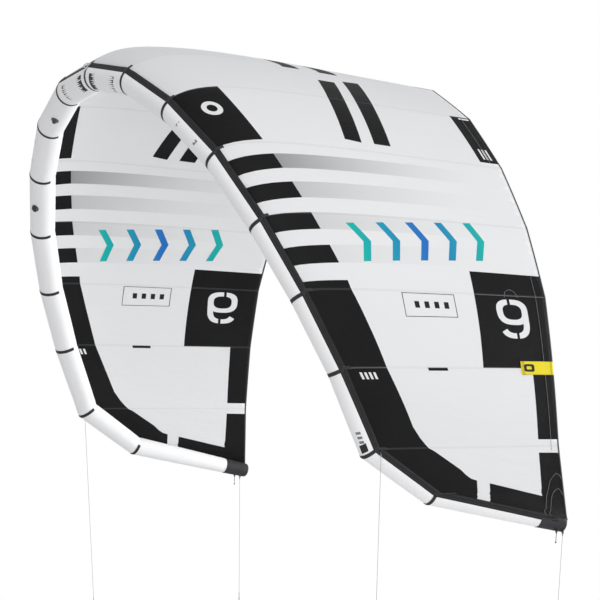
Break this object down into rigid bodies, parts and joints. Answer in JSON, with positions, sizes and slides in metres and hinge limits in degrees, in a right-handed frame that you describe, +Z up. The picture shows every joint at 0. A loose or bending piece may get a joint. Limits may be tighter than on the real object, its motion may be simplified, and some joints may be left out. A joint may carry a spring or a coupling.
{
  "type": "kitesurf kite",
  "caption": "Arched inflatable kite: segmented tapering tube along the front, one curved cloth canopy behind it, valves, end tabs and flying lines.",
  "frame": {"origin": "middle of the eye of the webbing loop on the centre seam of the leading edge", "axes": "+X to one wing tip, +Y from the leading edge to the trailing edge, +Z up, with the kite's arch standing over its tips and the flying lines running down"},
  "size_m": [3.4096, 1.7553, 2.9913],
  "materials": {
    "casing_cloth": "white woven polyester, matt",
    "canopy_cloth": "white ripstop with black and blue-green print, low sheen",
    "tip_sleeve_cloth": "black coated cloth, matt",
    "bladder_film": "thin translucent film, hidden inside the casing",
    "black_tape": "black woven tape with double stitching",
    "yellow_tab": "yellow coated cloth",
    "black_webbing": "black webbing, matt",
    "grey_valve_rubber": "grey soft plastic",
    "dark_valve_rubber": "black soft plastic",
    "dark_line": "dark grey braided line",
    "black_cord": "black braided cord",
    "white_webbing": "white webbing, matt"
  },
  "bodies": {
    "kite": {"casing_r1": "casing_cloth", "casing_r2": "casing_cloth", "casing_r3": "casing_cloth", "casing_r4": "casing_cloth", "casing_r5": "casing_cloth", "casing_r6": "casing_cloth", "casing_r7": "casing_cloth", "casing_r8": "casing_cloth", "casing_r9": "casing_cloth", "casing_l1": "casing_cloth", "casing_l2": "casing_cloth", "casing_l3": "casing_cloth", "casing_l4": "casing_cloth", "casing_l5": "casing_cloth", "casing_l6": "casing_cloth", "casing_l7": "casing_cloth", "casing_l8": "casing_cloth", "casing_l9": "casing_cloth", "canopy_panel_r1": "canopy_cloth", "canopy_panel_r2": "canopy_cloth", "canopy_panel_r3": "canopy_cloth", "canopy_panel_r4": "canopy_cloth", "canopy_panel_r5": "canopy_cloth", "canopy_panel_r6": "canopy_cloth", "canopy_panel_r7": "canopy_cloth", "canopy_panel_l1": "canopy_cloth", "canopy_panel_l2": "canopy_cloth", "canopy_panel_l3": "canopy_cloth", "canopy_panel_l4": "canopy_cloth", "canopy_panel_l5": "canopy_cloth", "canopy_panel_l6": "canopy_cloth", "canopy_panel_l7": "canopy_cloth", "canopy_tip_r": "canopy_cloth", "canopy_tip_l": "canopy_cloth", "tip_sleeve_r": "tip_sleeve_cloth", "tip_sleeve_l": "tip_sleeve_cloth", "bladder": "bladder_film", "seam_tape_centre": "black_tape", "seam_tapes_r": "black_tape", "seam_tapes_l": "black_tape", "canopy_hem_tape": "black_tape", "trailing_edge_binding": "black_tape", "pull_tabs": "yellow_tab", "centre_loop": "white_webbing", "line_tabs": "black_webbing", "inflate_valve": "grey_valve_rubber", "dump_valve": "dark_valve_rubber"},
    "inflate_cap": {"inflate_valve_cap": "grey_valve_rubber"},
    "dump_cap": {"dump_valve_cap": "dark_valve_rubber"},
    "check_flap": {"inflate_check_flap": "grey_valve_rubber"},
    "front_line_right": {"front_line_r": "dark_line", "front_line_loop_r": "dark_line"},
    "front_line_left": {"front_line_l": "dark_line", "front_line_loop_l": "dark_line"},
    "rear_line_right": {"rear_line_r": "dark_line", "rear_line_loop_r": "dark_line"},
    "rear_line_left": {"rear_line_l": "dark_line", "rear_line_loop_l": "dark_line"},
    "pigtail_right": {"short_pigtail_r": "black_cord"},
    "pigtail_left": {"short_pigtail_l": "black_cord"}
  },
  "joints": [
    {"name": "inflate_cap_hinge", "type": "hinge", "parent": "kite", "child": "inflate_cap", "pos_m": [-0.57289, 0.0652, -0.248], "axis": [0.288, 0.8595, -0.4222], "range_deg": [0, 150]},
    {"name": "dump_cap_hinge", "type": "hinge", "parent": "kite", "child": "dump_cap", "pos_m": [-1.18357, 0.21325, -0.67705], "axis": [0.6965, 0.6195, -0.3621], "range_deg": [0, 150]},
    {"name": "check_flap_hinge", "type": "hinge", "parent": "kite", "child": "check_flap", "pos_m": [-0.55924, 0.07318, -0.22244], "axis": [0.288, 0.8595, -0.4222], "range_deg": [0, 60], "stiffness_Nm_per_rad": 0.001},
    {"name": "front_line_right_swing", "type": "hinge", "parent": "kite", "child": "front_line_right", "pos_m": [1.69771, 0.74705, -1.76212], "axis": [0.0622, 0.9981, -0.0011], "range_deg": [-20, 4]},
    {"name": "front_line_left_swing", "type": "hinge", "parent": "kite", "child": "front_line_left", "pos_m": [-1.69771, 0.74705, -1.76212], "axis": [0.0622, -0.9981, 0.0011], "range_deg": [-20, 4]},
    {"name": "rear_line_right_swing", "type": "hinge", "parent": "kite", "child": "rear_line_right", "pos_m": [1.68363, 1.71388, -2.12623], "axis": [0.1045, 0.9865, -0.1265], "range_deg": [-25, 25]},
    {"name": "rear_line_left_swing", "type": "hinge", "parent": "kite", "child": "rear_line_left", "pos_m": [-1.68363, 1.71388, -2.12623], "axis": [0.1045, -0.9865, 0.1265], "range_deg": [-25, 25]},
    {"name": "pigtail_right_swing", "type": "hinge", "parent": "kite", "child": "pigtail_right", "pos_m": [1.68375, 1.67997, -2.12011], "axis": [0.1045, 0.9865, -0.1265], "range_deg": [-60, 20]},
    {"name": "pigtail_left_swing", "type": "hinge", "parent": "kite", "child": "pigtail_left", "pos_m": [-1.68375, 1.67997, -2.12011], "axis": [0.1045, -0.9865, 0.1265], "range_deg": [-60, 20]}
  ]
}
